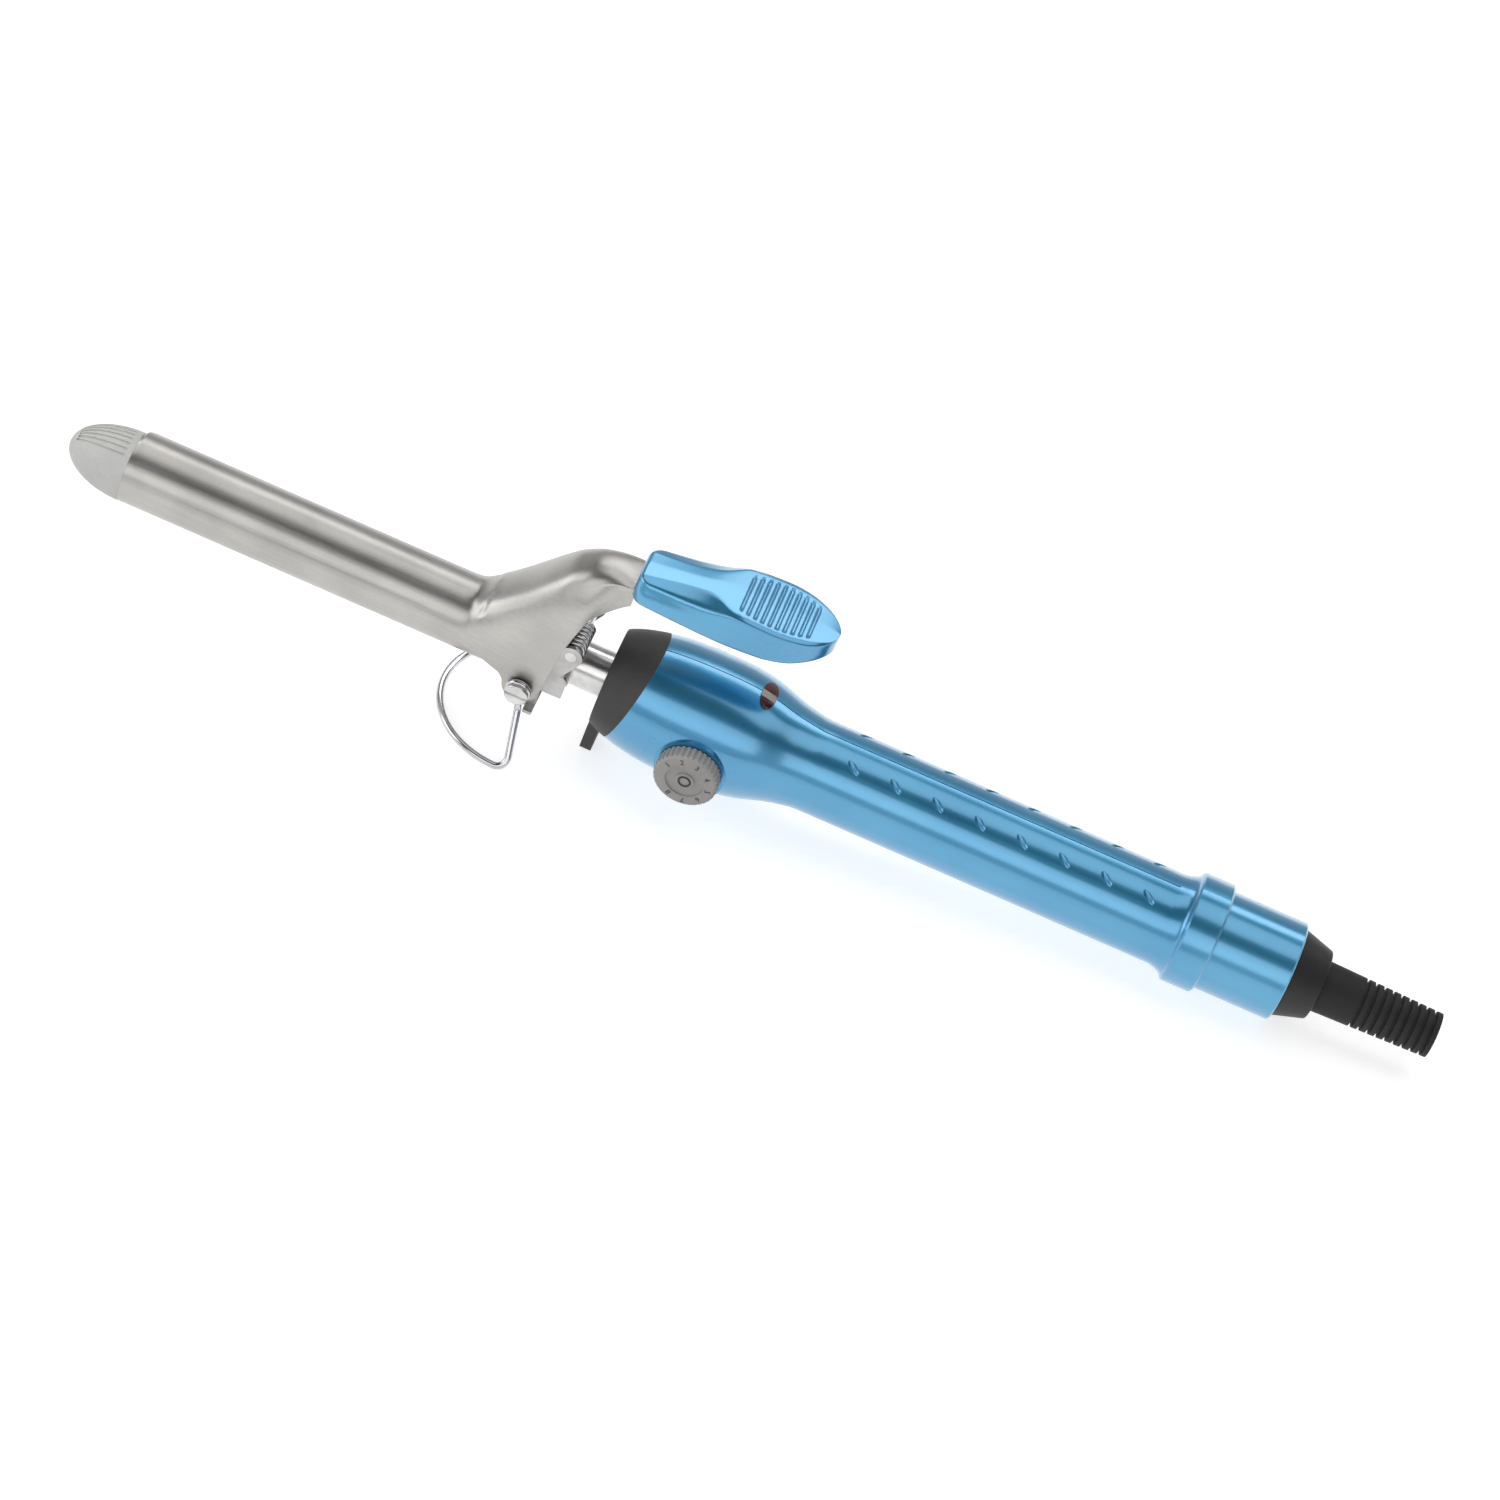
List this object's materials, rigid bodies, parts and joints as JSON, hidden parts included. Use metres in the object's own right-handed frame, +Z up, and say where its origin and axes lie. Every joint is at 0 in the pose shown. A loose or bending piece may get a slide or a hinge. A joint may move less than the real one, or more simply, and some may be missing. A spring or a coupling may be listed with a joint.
{
  "type": "curling iron",
  "caption": "Clamp curling iron: slim heated barrel with a sprung spoon clamp, wire stand, heat dial, bulged grip and swivelling cord boot.",
  "frame": {"origin": "middle of the footprint, on the plane through the lowest point of the wire stand's foot", "axes": "+X along the iron's axis towards the cord, +Z up towards the lever, -Y towards the heat dial"},
  "size_m": [0.3912, 0.05, 0.0736],
  "materials": {
    "satin_titanium": "satin, brushed along",
    "tip_plastic": "fine matte",
    "ceramic": "sintered, matte",
    "heater_wire": "oxidised",
    "bright_steel": "polished",
    "bracket_steel": "satin",
    "chrome": "mirror",
    "charcoal_plastic": "fine matte",
    "blue_shell": "metallic paint, satin gloss",
    "dial_grey": "fine matte",
    "red_lens": "clear gloss",
    "lamp_glass": "clear",
    "black_plastic": "matte",
    "black_rubber": "matte",
    "board_green": "satin",
    "resistor_body": "matte",
    "lead_sleeve": "woven sleeve",
    "contact_brass": "polished"
  },
  "bodies": {
    "handle": {"barrel_tube": "satin_titanium", "cool_tip": "tip_plastic", "heater_core": "ceramic", "core_spacers": "ceramic", "barrel_bush": "ceramic", "heater_winding": "heater_wire", "neck_tube": "bright_steel", "pivot_screws": "bright_steel", "spring_pin": "bright_steel", "clamp_spring": "bright_steel", "shell_screws": "bright_steel", "rheostat_nut": "bright_steel", "pivot_bracket": "bracket_steel", "heat_shield": "charcoal_plastic", "dial_side_shell": "blue_shell", "plain_side_shell": "blue_shell", "end_collar": "blue_shell", "indicator_lens": "red_lens", "indicator_lamp": "lamp_glass", "rheostat_body": "black_plastic", "brush_holder": "black_plastic", "filter_capacitor": "black_plastic", "switching_triac": "black_plastic", "neck_bush": "black_plastic", "control_board": "board_green", "board_resistors": "resistor_body", "thermal_fuse": "resistor_body", "heater_leads": "lead_sleeve", "supply_leads": "lead_sleeve", "contact_brushes": "contact_brass"},
    "clamp": {"clamp": "satin_titanium", "thumb_rest": "blue_shell", "thumb_rest_screws": "bright_steel"},
    "stand": {"stand_wire": "chrome"},
    "dial": {"dial_knob": "dial_grey", "rheostat_shaft": "bright_steel"},
    "cord_swivel": {"swivel_cone": "black_plastic", "swivel_hub": "black_plastic", "slip_rings": "contact_brass", "strain_relief": "black_rubber"}
  },
  "joints": [
    {"name": "clamp_pivot", "type": "hinge", "parent": "handle", "child": "clamp", "pos_m": [-0.06125, 0, 0.02044], "axis": [0, 1, 0], "range_deg": [0, 17], "stiffness_Nm_per_rad": 0.25, "springref_deg": -34.38, "deforming": ["clamp_spring"]},
    {"name": "stand_swing", "type": "hinge", "parent": "handle", "child": "stand", "pos_m": [-0.06125, 0, 0.02044], "axis": [0, 1, 0], "range_deg": [0, 32]},
    {"name": "dial_turn", "type": "hinge", "parent": "handle", "child": "dial", "pos_m": [-0.01165, -0.02, 0.02354], "axis": [0, -1, 0], "range_deg": [-135, 135]},
    {"name": "cord_turn", "type": "hinge", "parent": "handle", "child": "cord_swivel", "pos_m": [0.15675, 0, 0.02604], "axis": [1, 0, 0], "continuous": true}
  ]
}
